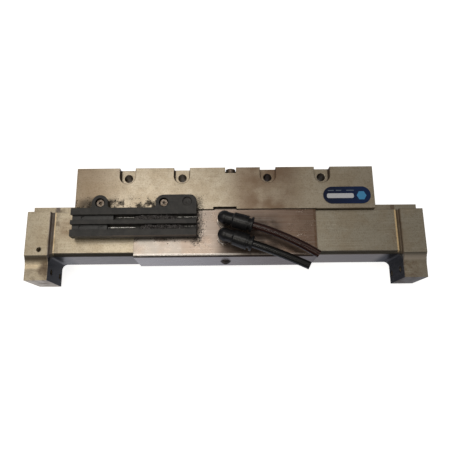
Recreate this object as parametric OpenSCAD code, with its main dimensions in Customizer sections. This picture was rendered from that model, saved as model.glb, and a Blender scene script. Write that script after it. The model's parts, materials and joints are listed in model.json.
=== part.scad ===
// Pneumatic gripper with two long-stroke parallel jaws, in millimetres.
//
// X is the jaw stroke, Y runs from the finger tips to the edge with the fixing
// holes, Z is up from the mounting face. The origin is on the mounting face,
// midway between the jaws and under the piston rod. The jaws are drawn open.
//
// Each jaw is a cylinder barrel that slides along a fixed piston rod. A lip on
// the jaw runs in a channel of the housing. A rack in each lip meshes with one
// pinion, so the jaws always open and close by the same amount.

/* [Housing] */
// Half length of the housing
housing_half_x = 79; // [78:0.5:82]
// Y of the edge that faces the jaws
housing_near_y = 12.3; // [12.25:0.05:12.5]
// Y of the edge with the fixing holes
housing_far_y = 35.5; // [35.3:0.1:37]
// Height of the front face above the mounting face
housing_z = 28; // [28:0.1:29]
// Distance from the middle to the inner fixing holes
fix_inner_x = 23; // [22:0.5:26]
// Distance from the middle to the outer fixing holes
fix_outer_x = 52; // [44:0.5:54]
// Diameter of the fixing holes
fix_d = 4.5; // [4:0.1:5]
// Diameter of the screw-head pockets round the fixing holes
fix_pocket_d = 8.4; // [8:0.1:9]
// Depth of the screw-head pockets
fix_pocket_depth = 3.8; // [3:0.1:5]

/* [Jaws] */
// Distance from the middle to the outer end of an open jaw
jaw_outer_x = 104; // [103:0.5:106]
// Distance from the middle to the inner end of an open jaw
jaw_inner_x = 46.8; // [46.6:0.1:47]
// Distance from the middle to the inner face of an open finger
finger_face_x = 92; // [91.5:0.1:93]
// Y of the finger tips
finger_tip_y = -24.1; // [-26:0.1:-23]
// Height of the front face of the finger block
block_z = 27; // [26:0.1:27.5]
// Height of the front face of the sliding part
slide_z = 25.2; // [24.8:0.1:25.4]
// Gap between the rear of the jaws and the mounting face
jaw_rear_z = 1.3; // [1.2:0.1:1.5]
// Thread size of the finger fixing holes, drawn at the tapping drill size
finger_tap_d = 3.3; // [2.5:0.1:4.2]
// Distance between the two finger fixing holes of a jaw
finger_tap_pitch = 14; // [12:0.5:14]

/* [Drive] */
// Cylinder bore in each jaw
bore_d = 16; // [15.9:0.1:16.2]
// Diameter of the fixed piston rod
rod_d = 8; // [7.9:0.1:8]
// Height of the piston rod above the mounting face
rod_z = 13; // [12.9:0.1:13.1]

/* [Cover and fittings] */
// Half length of the sheet cover
cover_half_x = 47.65; // [47.2:0.05:48]
// Sheet thickness of the cover
cover_t = 1; // [0.8:0.1:1]
// Angle of the upper fitting from the stroke direction
upper_fitting_angle = -17; // [-18:0.5:-10]
// Angle of the lower fitting from the stroke direction
lower_fitting_angle = -19.5; // [-25:0.5:-18.5]
// Angle through which the upper tube bends
upper_tube_bend = 16; // [10:1:20]
// Angle through which the lower tube bends
lower_tube_bend = 5.6; // [4:0.2:7]

/* [Hidden] */
$fn = 64;
cut = 0.5;
fit_gap = 0.02;

metal = [0.62, 0.58, 0.51];
steel = [0.74, 0.73, 0.72];
black_metal = [0.13, 0.13, 0.13];
black_plastic = [0.10, 0.10, 0.11];
black_rubber = [0.07, 0.07, 0.07];
brass = [0.72, 0.66, 0.50];
bronze = [0.60, 0.42, 0.22];

// housing channel
channel_y = 17;
channel_z = 18.8;
// jaw section
slide_low_y = -11.8;
slide_high_y = 12;
slide_chamfer = 1.8;
lip_y = 16.8;
lip_z = 18.5;
// finger block
block_low_y = -11.4;
foot_groove_w = 1.6;
foot_groove_floor_w = 0.6;
foot_groove_depth = 0.5;
foot_step_x = finger_face_x - 0.2;
finger_front_z = 24.5;
cove_y = -17.9;
finger_fillet_r = 3;
finger_tap_y = -19;
finger_tap_low_z = 4.8;
finger_tap_depth = 9;
dowel_x = 96.6;
dowel_y = -8.4;
dowel_d = 2.5;
dowel_depth = 4;
// cylinder
blind_end_x = 100.1;
clip_x = 47.2;
clip_w = 1;
gland_x = 48.3;
gland_w = 4;
piston_x = 53.8;
piston_w = 5.5;
spigot_d = 6;
passage_offset = 1.7;
passage_d = 1.5;
cross_drill_x = 53.05;
cross_drill_d = 1.2;
rod_plug_w = 3;
// centre block
block_half_x = 6.4;
block_near_y = -11.7;
block_far_y = 12.2;
block_top_z = 25.6;
block_low_z = 1.15;
foot_far_y = 26;
foot_z = 2.6;
foot_screw_x = 3.6;
foot_screw_y = 21.5;
// cover
cover_near_y = -13;
cover_z = 26.7;
cover_bend_r = 1.5;
bend_flat_x = [-3.6, 3.8];
bend_flat_w = 1.05;
cover_screw_z = 14;
button_head_d = 5.7;
button_head_h = 1.65;
// ports and fittings, upper one first
port_x = -0.4;
port_y = [5.65, -3.25];
port_d = 5;
port_depth = 6;
washer_t = 1.3;
washer_d = 6.7;
hex_af = 7;
hex_h = 2.5;
hex_turn = [10, 20.6];
neck_d = 5.6;
neck_h = 4.6;
fitting_angle = [upper_fitting_angle, lower_fitting_angle];
elbow_r = 3.55;
elbow_drop = 0.3;
elbow_neck_r = 3.2;
barrel_start = 4.9;
barrel_r = 3.95;
barrel_end_r = 4.12;
barrel_len = 12.3;
barrel_z = 35.5;
tube_d = 4;
tube_bore_d = 2.5;
tube_seat = 5.2;
collar_flange_d = 8.1;
collar_flange_x = barrel_len + 1.4;
tube_straight = 14.9;
tube_bend_r = [130, 310];
tube_bend = [upper_tube_bend, lower_tube_bend];
// drive gears
gear_module = 0.5;
axle_z = 9.65;
axle_d = 3;
axle_in_y = 9.6;
axle_out_y = 25;
pinion_teeth = 16;
pressure_angle = 20;
pitch_r = gear_module * pinion_teeth / 2;
tooth_pitch = PI * gear_module;
tooth_thin = 0.07;
gear_low_y = 12.5;
gear_high_y = 15.8;
rack_teeth = 33;
rack_end_x = 66;
rack_upper_back_z = 16.9;
rack_lower_back_z = 2.9;
rack_pin_x = [53, 62];
rack_pin_d = 2;
// side port
plug_x = 3.1;
plug_z = 24.8;
plug_thread_d = 4;
notch_w = 5.8;
notch_floor_y = 32.4;
notch_z = 21.8;
// sensor bracket
bracket_x0 = -79.4;
bracket_x1 = -14.8;
bracket_y0 = -3;
bracket_y1 = 11.85;
bracket_z = 33.5;
groove_y = [6.9, 1.85];
groove_z = 31;
groove_d = 3.9;
groove_mouth = 2.8;
groove_end_cut = 0.7;
sensor_x0 = bracket_x0 + 0.5;
sensor_flat = 0.6;
bracket_screw_pos = [[-64.6, 14.6], [-31.7, 14.6]];
spare_hole_pos = [-19.6, 15];
head_pocket_d = 4.9;
head_pocket_z = 30.4;

// ---------- helpers ----------

// Moves a flat profile drawn as (Y, Z) so that it runs along X from x0 to x1
module along_x(x0, x1) {
    translate([x0, 0, 0])
        rotate([90, 0, 90])
            linear_extrude(height = x1 - x0)
                children();
}

// Round bar along X
module rod_x(x0, x1, y, z, d) {
    translate([x0, y, z])
        rotate([0, 90, 0])
            cylinder(h = x1 - x0, d = d);
}

// Round bar along Y
module rod_y(y0, y1, x, z, d) {
    translate([x, y0, z])
        rotate([-90, 0, 0])
            cylinder(h = y1 - y0, d = d);
}

// Round bar between two points
module rod_between(a, b, d) {
    v = b - a;
    length = norm(v);
    translate(a)
        rotate([0, acos(v[2] / length), atan2(v[1], v[0])])
            cylinder(h = length, d = d);
}

module ring(h, outer, inner) {
    difference() {
        cylinder(h = h, d = outer);
        translate([0, 0, -cut])
            cylinder(h = h + 2 * cut, d = inner);
    }
}

module ring_x(x0, w, y, z, outer, inner) {
    translate([x0, y, z])
        rotate([0, 90, 0])
            ring(w, outer, inner);
}

// Socket cap screw pointing down, with its head resting on z = 0
module cap_screw(d, length, head_d, head_h, key_af) {
    translate([0, 0, -length])
        cylinder(h = length, d = d);
    difference() {
        cylinder(h = head_h, d = head_d);
        translate([0, 0, head_h / 2])
            cylinder(h = head_h, d = key_af / cos(30), $fn = 6);
    }
}

// Countersunk screw pointing up, with its flat head at z = 0
module sunk_screw(d, length, head_d, key_af) {
    cone_h = (head_d - d) / 2;
    difference() {
        union() {
            cylinder(h = cone_h, d1 = head_d, d2 = d);
            cylinder(h = length, d = d);
        }
        translate([0, 0, -cut])
            cylinder(h = cut + 1.1, d = key_af / cos(30), $fn = 6);
    }
}

module sunk_hole(d, length, head_d) {
    cone_h = (head_d - d) / 2;
    cylinder(h = cone_h, d1 = head_d, d2 = d);
    cylinder(h = length, d = d);
    translate([0, 0, -cut])
        cylinder(h = cut, d = head_d);
}

// ---------- housing ----------

module fix_hole(x) {
    y = housing_far_y - 4.6;
    translate([x, y, -cut])
        cylinder(h = housing_z + 2 * cut, d = fix_d);
    translate([x, y, housing_z - fix_pocket_depth]) {
        cylinder(h = fix_pocket_depth + cut, d = fix_pocket_d);
        translate([-fix_pocket_d / 2, 0, 0])
            cube([fix_pocket_d, housing_far_y - y + cut, fix_pocket_depth + cut]);
    }
}

module side_port_drilling() {
    rod_between([plug_x, 27.4, 24.2], [0.76, 6.5, 20.15], 1.6);
}

module housing() {
    color(metal)
        difference() {
            union() {
                translate([-housing_half_x, channel_y, 0])
                    cube([2 * housing_half_x, housing_far_y - channel_y, housing_z]);
                translate([-housing_half_x, housing_near_y, channel_z])
                    cube([2 * housing_half_x, channel_y - housing_near_y + cut, housing_z - channel_z]);
            }
            for (x = [-fix_outer_x, -fix_inner_x, fix_inner_x, fix_outer_x])
                fix_hole(x);
            // slot that holds the tab of the cover
            translate([-6.2, housing_near_y - cut, 23.8])
                cube([12.2, cut + 1.2, housing_z]);
            // recess for the foot of the centre block, and its two threads
            translate([-block_half_x - 0.05, channel_y - cut, -cut])
                cube([2 * block_half_x + 0.1, foot_far_y + 0.05 - channel_y + cut, foot_z + cut]);
            for (x = [-foot_screw_x, foot_screw_x])
                translate([x, foot_screw_y, 0])
                    cylinder(h = 9, d = 3);
            // pinion axle and its set screw
            rod_y(channel_y - cut, axle_out_y, 0, axle_z, axle_d + fit_gap);
            rod_y(axle_out_y - 0.01, housing_far_y + cut, 0, axle_z, 4);
            // side port with the notch for its plug
            translate([plug_x - notch_w / 2, notch_floor_y, notch_z])
                cube([notch_w, housing_far_y, housing_z]);
            rod_y(26.4, notch_floor_y + cut, plug_x, plug_z, plug_thread_d);
            side_port_drilling();
            // bracket threads in the front face
            for (p = concat(bracket_screw_pos, [spare_hole_pos]))
                translate([p[0], p[1], housing_z - 5])
                    cylinder(h = 5 + cut, d = 2);
        }
}

module label_plate() {
    color([0.06, 0.09, 0.16])
        translate([0, 0, housing_z])
            linear_extrude(height = 0.3) {
                for (x = [56.6, 72.3])
                    translate([x, 19.3])
                        circle(d = 9.4);
                translate([56.6, 14.6])
                    square([15.7, 9.4]);
            }
}

module port_plug() {
    color(steel)
        difference() {
            union() {
                rod_y(28, notch_floor_y, plug_x, plug_z, plug_thread_d - fit_gap);
                rod_y(notch_floor_y, 35, plug_x, plug_z, 5.2);
            }
            translate([plug_x, 35 + cut, plug_z])
                rotate([90, 0, 0])
                    cylinder(h = cut + 1.6, d = 2.5 / cos(30), $fn = 6);
        }
}

// ---------- centre block ----------

// Port i with its drilling to the passage of the rod
module port_drilling(i, passage_y) {
    translate([port_x, port_y[i], block_top_z - port_depth])
        cylinder(h = port_depth + cut, d = port_d);
    rod_between([port_x, port_y[i], block_top_z - port_depth + 0.4], [0, passage_y, rod_z], 1.6);
}

module centre_block() {
    color(metal)
        difference() {
            union() {
                translate([-block_half_x, block_near_y, block_low_z])
                    cube([2 * block_half_x, block_far_y - block_near_y, block_top_z - block_low_z]);
                translate([-block_half_x, block_far_y - cut, block_low_z])
                    cube([2 * block_half_x, 2 * cut, foot_z - block_low_z]);
                translate([-block_half_x, block_far_y, 0])
                    cube([2 * block_half_x, foot_far_y - block_far_y, foot_z]);
            }
            rod_x(-block_half_x - cut, block_half_x + cut, 0, rod_z, rod_d + fit_gap);
            port_drilling(0, passage_offset);
            port_drilling(1, -passage_offset);
            side_port_drilling();
            // recess for the seal of the side port
            rod_y(block_far_y - 1, block_far_y + cut, 1.39, 21.28, 4.2);
            rod_y(axle_in_y - 0.05, block_far_y + cut, 0, axle_z, axle_d + fit_gap);
            // thread of the cover screw
            rod_y(block_near_y - cut, cover_near_y + 7, 0, cover_screw_z, 3);
            for (x = [-foot_screw_x, foot_screw_x])
                translate([x, foot_screw_y, 0])
                    sunk_hole(3.2, 5, 5.8);
        }
}

module block_screws() {
    color(steel)
        for (x = [-foot_screw_x, foot_screw_x])
            translate([x, foot_screw_y, 0.1])
                sunk_screw(3 - fit_gap, 8, 5.5, 2);
}

module side_port_seal() {
    color(black_rubber)
        translate([1.39, block_far_y + 0.05, 21.28])
            rotate([90, 0, 0])
                ring(1, 4, 2.1);
}

// ---------- cover ----------

// Rounded U, open towards +Y
module wrap_shape(near, low, high, r, far) {
    translate([near + r, low + r])
        circle(r = r);
    translate([near + r, high - r])
        circle(r = r);
    translate([near + r, low])
        square([far - near - r, high - low]);
    translate([near, low + r])
        square([r + cut, high - low - 2 * r]);
}

module cover_profile() {
    difference() {
        wrap_shape(cover_near_y, 0, cover_z, cover_bend_r, lip_y + 0.1);
        wrap_shape(cover_near_y + cover_t, cover_t, cover_z - cover_t, cover_bend_r - cover_t, channel_y + cut);
        // the front sheet stops at the housing
        translate([housing_near_y - 0.1, cover_t + cut])
            square([10, cover_z]);
    }
}

module cover() {
    color(steel)
        difference() {
            union() {
                along_x(-cover_half_x, cover_half_x)
                    cover_profile();
                translate([-5.6, housing_near_y - 0.1 - cut, cover_z - cover_t])
                    cube([11.2, cut + 0.9, cover_t]);
            }
            // notch round the foot of the centre block
            translate([-block_half_x - 0.1, block_far_y - 0.1, -cut])
                cube([2 * block_half_x + 0.2, 10, cover_t + 2 * cut]);
            // holes for the washers of the two fittings
            for (y = port_y)
                translate([port_x, y, 20])
                    cylinder(h = 10, d = washer_d + 0.3);
            // flat on the bend above the screw
            translate([bend_flat_x[0], cover_near_y, cover_z - bend_flat_w])
                rotate([45, 0, 0])
                    cube([bend_flat_x[1] - bend_flat_x[0], 3, 3]);
            rod_y(cover_near_y - cut, 0, 0, cover_screw_z, 3.4);
        }
}

// Button-head screw in the side of the cover
module cover_screw() {
    head_r = button_head_d / 2;
    dome_r = (head_r * head_r + button_head_h * button_head_h) / (2 * button_head_h);
    color(black_metal)
        translate([0, cover_near_y - 0.01, cover_screw_z])
            rotate([90, 0, 0])
                difference() {
                    union() {
                        translate([0, 0, -6.5])
                            cylinder(h = 6.6, d = 3 - fit_gap);
                        intersection() {
                            translate([0, 0, button_head_h - dome_r])
                                sphere(r = dome_r);
                            cylinder(h = button_head_h - 0.1, d = button_head_d);
                        }
                    }
                    translate([0, 0, button_head_h - 1.2])
                        cylinder(h = 2, d = 2 / cos(30), $fn = 6);
                }
}

// ---------- piston rod ----------

module piston_rod() {
    end_x = piston_x + piston_w;
    color(steel)
        difference() {
            union() {
                rod_x(-piston_x, piston_x, 0, rod_z, rod_d);
                rod_x(-end_x, end_x, 0, rod_z, spigot_d);
            }
            rod_x(-end_x - cut, end_x + cut, passage_offset, rod_z, passage_d);
            rod_x(-end_x - cut, cross_drill_x + 0.6, -passage_offset, rod_z, passage_d);
            for (x = [-cross_drill_x, cross_drill_x])
                rod_y(-rod_d, -passage_offset, x, rod_z, cross_drill_d);
            port_drilling(0, passage_offset);
            port_drilling(1, -passage_offset);
        }
}

module rod_plug() {
    color(brass)
        rod_x(-piston_x - piston_w, -piston_x - piston_w + rod_plug_w,
            -passage_offset, rod_z, passage_d - fit_gap);
}

module piston() {
    color(metal)
        difference() {
            ring_x(piston_x + fit_gap, piston_w - fit_gap, 0, rod_z, bore_d - 0.12, spigot_d + fit_gap);
            ring_x(piston_x + 1.6, 2.4, 0, rod_z, bore_d + cut, bore_d - 3.4);
        }
}

module left_piston() {
    mirror([1, 0, 0])
        piston();
}

module right_piston() {
    piston();
}

module piston_seals() {
    color(black_rubber)
        for (side = [0, 1])
            mirror([side, 0, 0])
                ring_x(piston_x + 1.7, 2.2, 0, rod_z, bore_d - 2 * fit_gap, bore_d - 3.3);
}

// ---------- jaws ----------

module slide_profile() {
    polygon([
        [slide_low_y, jaw_rear_z],
        [lip_y, jaw_rear_z],
        [lip_y, lip_z],
        [slide_high_y, lip_z],
        [slide_high_y, slide_z],
        [slide_low_y + slide_chamfer, slide_z],
        [slide_low_y, slide_z - slide_chamfer]
    ]);
}

// Finger block with a cove from its front face down to the lower finger face
module block_profile() {
    cove_w = block_low_y - cove_y;
    cove_h = block_z - finger_front_z;
    cove_r = (cove_w * cove_w + cove_h * cove_h) / (2 * cove_h);
    difference() {
        polygon([
            [finger_tip_y, jaw_rear_z],
            [lip_y, jaw_rear_z],
            [lip_y, lip_z],
            [slide_high_y, lip_z],
            [slide_high_y, block_z],
            [cove_y + 0.3, block_z],
            [cove_y + 0.3, finger_front_z],
            [finger_tip_y, finger_front_z]
        ]);
        translate([cove_y, finger_front_z + cove_r + 0.002])
            circle(r = cove_r, $fn = 180);
    }
}

// Relief groove at the foot of the block, with a sloping side
module foot_groove() {
    translate([foot_step_x, slide_low_y - cut, slide_z])
        rotate([-90, 0, 0])
            linear_extrude(height = slide_high_y - slide_low_y + 2 * cut)
                polygon([
                    [0, foot_groove_depth],
                    [-foot_groove_floor_w, foot_groove_depth],
                    [-foot_groove_w, 0],
                    [-foot_groove_w, -cut],
                    [0, -cut]
                ]);
}

// Everything that the two jaws share, drawn for the right jaw. The rack seat
// and the pocket for the other jaw's rack are closed towards the outside.
module jaw_common(seat_low, seat_high, pocket_low, pocket_high) {
    difference() {
        union() {
            along_x(jaw_inner_x, jaw_outer_x)
                slide_profile();
            along_x(finger_face_x, jaw_outer_x)
                block_profile();
            translate([foot_step_x, block_low_y, slide_z - cut])
                cube([1, slide_high_y - block_low_y, block_z - slide_z + cut]);
            // fillet between the sliding part and the finger
            translate([finger_face_x - finger_fillet_r, slide_low_y - finger_fillet_r, jaw_rear_z])
                difference() {
                    cube([finger_fillet_r + cut, finger_fillet_r + cut, slide_z - slide_chamfer - jaw_rear_z]);
                    translate([0, 0, -cut])
                        cylinder(h = slide_z + 2 * cut, r = finger_fillet_r);
                }
        }
        foot_groove();
        // cylinder bore and the groove of the gland clip
        rod_x(jaw_inner_x - cut, blind_end_x, 0, rod_z, bore_d);
        rod_x(clip_x - 0.05, clip_x + clip_w + 0.05, 0, rod_z, bore_d + 1.1);
        // finger fixing threads
        for (z = [finger_tap_low_z, finger_tap_low_z + finger_tap_pitch])
            rod_x(finger_face_x - cut, finger_face_x + finger_tap_depth, finger_tap_y, z, finger_tap_d);
        // rack seat and rack pocket
        translate([jaw_inner_x - cut, gear_low_y - 0.15, seat_low])
            cube([rack_end_x + 0.1 - jaw_inner_x + cut, gear_high_y - gear_low_y + 0.3, seat_high - seat_low]);
        translate([jaw_inner_x - cut, gear_low_y - 0.25, pocket_low])
            cube([40.2 + cut, gear_high_y - gear_low_y + 0.5, pocket_high - pocket_low]);
    }
}

module left_jaw() {
    color(metal)
        difference() {
            mirror([1, 0, 0])
                jaw_common(axle_z + 3.2, rack_upper_back_z + 0.05, rack_lower_back_z - 0.25, axle_z - 3.2);
            for (x = rack_pin_x)
                rod_y(10, lip_y + cut, -x, 15.7, rack_pin_d);
            translate([-dowel_x, dowel_y, block_z - dowel_depth])
                cylinder(h = dowel_depth + cut, d = dowel_d);
            translate([-68, 4.4, slide_z - 2.6])
                cylinder(h = 3, d = 3.1);
        }
}

module right_jaw() {
    color(metal)
        difference() {
            jaw_common(rack_lower_back_z - 0.05, axle_z - 3.2, axle_z + 3.2, rack_upper_back_z + 0.25);
            for (x = rack_pin_x)
                rod_y(10, lip_y + cut, x, 4, rack_pin_d);
            translate([dowel_x, dowel_y, jaw_rear_z - cut])
                cylinder(h = dowel_depth + cut, d = dowel_d);
        }
}

module jaw_magnet() {
    color(steel)
        translate([-68, 4.4, slide_z - 2.6])
            cylinder(h = 2.5, d = 3);
}

module gland() {
    color(bronze)
        difference() {
            ring_x(gland_x, gland_w, 0, rod_z, bore_d - 2 * fit_gap, rod_d + 0.08);
            ring_x(gland_x + 1.1, 1.8, 0, rod_z, 11, rod_d - cut);
            ring_x(gland_x + 1.1, 1.8, 0, rod_z, bore_d + cut, 13.2);
        }
}

module gland_seals() {
    color(black_rubber) {
        ring_x(gland_x + 1.2, 1.6, 0, rod_z, 10.9, rod_d + 2 * fit_gap);
        ring_x(gland_x + 1.2, 1.6, 0, rod_z, bore_d - 2 * fit_gap, 13.3);
    }
}

module gland_clip() {
    color(steel)
        difference() {
            ring_x(clip_x, clip_w, 0, rod_z, bore_d + 1, 13.2);
            translate([clip_x - cut, -2.4, rod_z])
                cube([clip_w + 2 * cut, 4.8, 12]);
        }
}

module left_gland() {
    mirror([1, 0, 0])
        gland();
}

module right_gland() {
    gland();
}

module left_gland_seals() {
    mirror([1, 0, 0])
        gland_seals();
}

module right_gland_seals() {
    gland_seals();
}

module left_gland_clip() {
    mirror([1, 0, 0])
        gland_clip();
}

module right_gland_clip() {
    gland_clip();
}

// ---------- racks and pinion ----------

// Rack as an (X, Z) profile. The pitch line is at z = 0 and the teeth point up.
module rack_profile(back) {
    half = (tooth_pitch / 2 - tooth_thin) / 2;
    tip = gear_module;
    root = -1.25 * gear_module;
    slope = tan(pressure_angle);
    start = -3 * tooth_pitch;
    translate([start, back])
        square([rack_end_x - start, root - back]);
    for (i = [-3 : rack_teeth - 4])
        polygon([
            [(i + 0.5) * tooth_pitch - half + root * slope, root - 0.05],
            [(i + 0.5) * tooth_pitch + half - root * slope, root - 0.05],
            [(i + 0.5) * tooth_pitch + half - tip * slope, tip],
            [(i + 0.5) * tooth_pitch - half + tip * slope, tip]
        ]);
}

// Rack of the right jaw, below the pinion
module right_rack() {
    color(steel)
        difference() {
            translate([0, gear_high_y - 0.1, axle_z - pitch_r])
                rotate([90, 0, 0])
                    linear_extrude(height = gear_high_y - gear_low_y - 0.1)
                        rack_profile(rack_lower_back_z - axle_z + pitch_r);
            for (x = rack_pin_x)
                rod_y(gear_low_y - cut, gear_high_y + cut, x, 4, rack_pin_d);
        }
}

// Rack of the left jaw, above the pinion
module left_rack() {
    color(steel)
        difference() {
            translate([0, gear_low_y, axle_z + pitch_r])
                rotate([-90, 0, 0])
                    linear_extrude(height = gear_high_y - gear_low_y - 0.1)
                        mirror([1, 0, 0])
                            rack_profile(axle_z + pitch_r - rack_upper_back_z);
            for (x = rack_pin_x)
                rod_y(gear_low_y - cut, gear_high_y + cut, -x, 15.7, rack_pin_d);
        }
}

module left_rack_pins() {
    color(steel)
        for (x = rack_pin_x)
            rod_y(10.1, lip_y - 0.1, -x, 15.7, rack_pin_d - fit_gap);
}

module right_rack_pins() {
    color(steel)
        for (x = rack_pin_x)
            rod_y(10.1, lip_y - 0.1, x, 4, rack_pin_d - fit_gap);
}

function involute(a) = tan(a) - a * PI / 180;
base_r = pitch_r * cos(pressure_angle);
root_r = pitch_r - 1.25 * gear_module;
tip_r = pitch_r + gear_module;
tooth_half = (tooth_pitch / 2 - tooth_thin) / (2 * pitch_r) * 180 / PI;

// Half the angle of a tooth at radius r
function flank(r) = tooth_half
    + (involute(pressure_angle) - (r > base_r ? involute(acos(base_r / r)) : 0)) * 180 / PI;
flank_r = [root_r, base_r, base_r + 0.12, base_r + 0.28, pitch_r + 0.1, pitch_r + 0.3, tip_r];

module pinion_profile() {
    polygon([
        for (i = [0 : pinion_teeth - 1])
            for (j = [0 : 13])
                let (
                    r = flank_r[j < 7 ? j : 13 - j],
                    a = i * 360 / pinion_teeth + (j < 7 ? -1 : 1) * flank(r)
                )
                [r * cos(a), r * sin(a)]
    ]);
}

module pinion() {
    color(steel)
        translate([0, gear_high_y, axle_z])
            rotate([90, 0, 0])
                difference() {
                    union() {
                        linear_extrude(height = gear_high_y - gear_low_y)
                            pinion_profile();
                        translate([0, 0, -0.9])
                            cylinder(h = 2, r = 3);
                    }
                    translate([0, 0, -2])
                        cylinder(h = 8, d = 4.6);
                }
}

module pinion_bush() {
    color(bronze)
        translate([0, gear_high_y + 0.95, axle_z])
            rotate([90, 0, 0])
                ring(gear_high_y - gear_low_y + 1, 4.6 - fit_gap, axle_d + 0.08);
}

module pinion_axle() {
    color(steel)
        rod_y(axle_in_y, axle_out_y - 0.05, 0, axle_z, axle_d);
}

module axle_set_screw() {
    color(black_metal)
        difference() {
            rod_y(axle_out_y, axle_out_y + 5, 0, axle_z, 4 - fit_gap);
            translate([0, axle_out_y + 5 + cut, axle_z])
                rotate([90, 0, 0])
                    cylinder(h = cut + 2, d = 2 / cos(30), $fn = 6);
        }
}

// ---------- sensors ----------

module bracket_profile() {
    difference() {
        translate([bracket_y0, housing_z])
            square([bracket_y1 - bracket_y0, bracket_z - housing_z]);
        for (y = groove_y) {
            translate([y, groove_z])
                circle(d = groove_d);
            translate([y - groove_mouth / 2, groove_z])
                square([groove_mouth, 10]);
        }
    }
}

module ears() {
    p = bracket_screw_pos[0];
    q = bracket_screw_pos[1];
    fillet = 1.6;
    difference() {
        union() {
            translate(p)
                circle(r = 4.1);
            translate([p[0] - 4.1, bracket_y1 - 1])
                square([8.2, p[1] - bracket_y1 + 1]);
            translate([p[0] - 4.1 - fillet, bracket_y1 - 1])
                square([8.2 + 2 * fillet, 1 + fillet]);
        }
        for (side = [-1, 1])
            translate([p[0] + side * (4.1 + fillet), bracket_y1 + fillet])
                circle(r = fillet);
    }
    difference() {
        union() {
            translate(q)
                circle(r = 4.1);
            translate([q[0] - 4.1, bracket_y1 - 1])
                square([8, q[1] - bracket_y1 + 1]);
            translate([q[0] - 4.1 - fillet, bracket_y1 - 1])
                square([8, 1 + fillet]);
            translate([bracket_x1 - 3.4, 15.3])
                circle(r = 3.4);
            translate([q[0], bracket_y1 - 1])
                square([bracket_x1 - 3.4 - q[0], 18.7 - bracket_y1 + 1]);
            translate([q[0], bracket_y1 - 1])
                square([bracket_x1 - q[0], 15.3 - bracket_y1 + 1]);
        }
        translate([q[0] - 4.1 - fillet, bracket_y1 + fillet])
            circle(r = fillet);
    }
}

module sensor_bracket() {
    color(black_metal)
        difference() {
            union() {
                along_x(bracket_x0, bracket_x1)
                    bracket_profile();
                translate([0, 0, housing_z])
                    linear_extrude(height = bracket_z - housing_z)
                        ears();
            }
            // the grooves are cut through at the left end
            for (y = groove_y)
                translate([bracket_x0 - cut, y - groove_mouth / 2, housing_z - cut])
                    cube([groove_end_cut + cut, groove_mouth, 10]);
            for (p = concat(bracket_screw_pos, [spare_hole_pos]))
                translate([p[0], p[1], housing_z - cut]) {
                    cylinder(h = 10, d = 2.3);
                    translate([0, 0, head_pocket_z - housing_z + cut])
                        cylinder(h = 10, d = head_pocket_d);
                }
        }
}

module bracket_screws() {
    color(steel)
        for (p = bracket_screw_pos)
            translate([p[0], p[1], head_pocket_z])
                cap_screw(2 - fit_gap, 7, 3.8, 2, 1.5);
}

// Slot sensor with a flat top, a cable hole in its end and the pocket of its
// clamp screw
module sensor_body(y, length, clamp_x) {
    difference() {
        rod_x(sensor_x0, sensor_x0 + length, y, groove_z, groove_d - 0.2);
        translate([sensor_x0 - cut, y - groove_d, groove_z + sensor_flat])
            cube([length + 2 * cut, 2 * groove_d, groove_d]);
        rod_x(sensor_x0 - cut, sensor_x0 + 2, y, groove_z - 0.5, 1.6);
        translate([clamp_x, y, groove_z])
            cylinder(h = groove_d, d = 1.9);
    }
}

module upper_sensor() {
    color(black_plastic)
        sensor_body(groove_y[0], 21.2, sensor_x0 + 5.3);
}

module lower_sensor() {
    length = 18.2;
    color(black_plastic)
        difference() {
            sensor_body(groove_y[1], length, sensor_x0 + 4.3);
            // indicator window
            translate([sensor_x0 + length - 4.5, groove_y[1] - 0.6, groove_z + sensor_flat - 0.3])
                cube([2.2, 1.2, 1]);
        }
}

// ---------- fittings ----------

module port_washers() {
    color(brass)
        for (y = port_y)
            translate([port_x, y, block_top_z])
                ring(washer_t, washer_d, port_d + 0.1);
}

// The fittings are numbered: 0 is the upper one, 1 is the lower one
module stem(i) {
    color(brass)
        translate([port_x, port_y[i], block_top_z + washer_t])
            difference() {
                union() {
                    translate([0, 0, -4.9])
                        cylinder(h = 5, d = port_d - fit_gap);
                    intersection() {
                        rotate([0, 0, hex_turn[i]])
                            cylinder(h = hex_h, d = hex_af / cos(30), $fn = 6);
                        translate([0, 0, -0.5])
                            cylinder(h = hex_h + 0.5, d1 = hex_af + 2, d2 = hex_af + 0.4);
                    }
                    translate([0, 0, hex_h - 0.1])
                        cylinder(h = neck_h + 0.1, d = neck_d);
                }
                translate([0, 0, -10])
                    cylinder(h = 30, d = 2.5);
                // groove of the swivel seal
                translate([0, 0, hex_h + 1.9])
                    ring(1.4, neck_d + cut, neck_d - 1.8);
            }
}

module swivel_seal(i) {
    color(black_rubber)
        translate([port_x, port_y[i], block_top_z + washer_t + hex_h + 2])
            ring(1.2, neck_d + 0.04, neck_d - 1.7);
}

// Turns a part drawn along +X to its angle on port i
module on_fitting(i) {
    translate([port_x, port_y[i], barrel_z])
        rotate([0, 0, fitting_angle[i]])
            children();
}

module cone_x(x0, x1, r0, r1) {
    translate([x0, 0, 0])
        rotate([0, 90, 0])
            cylinder(h = x1 - x0, r1 = r0, r2 = r1);
}

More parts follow.
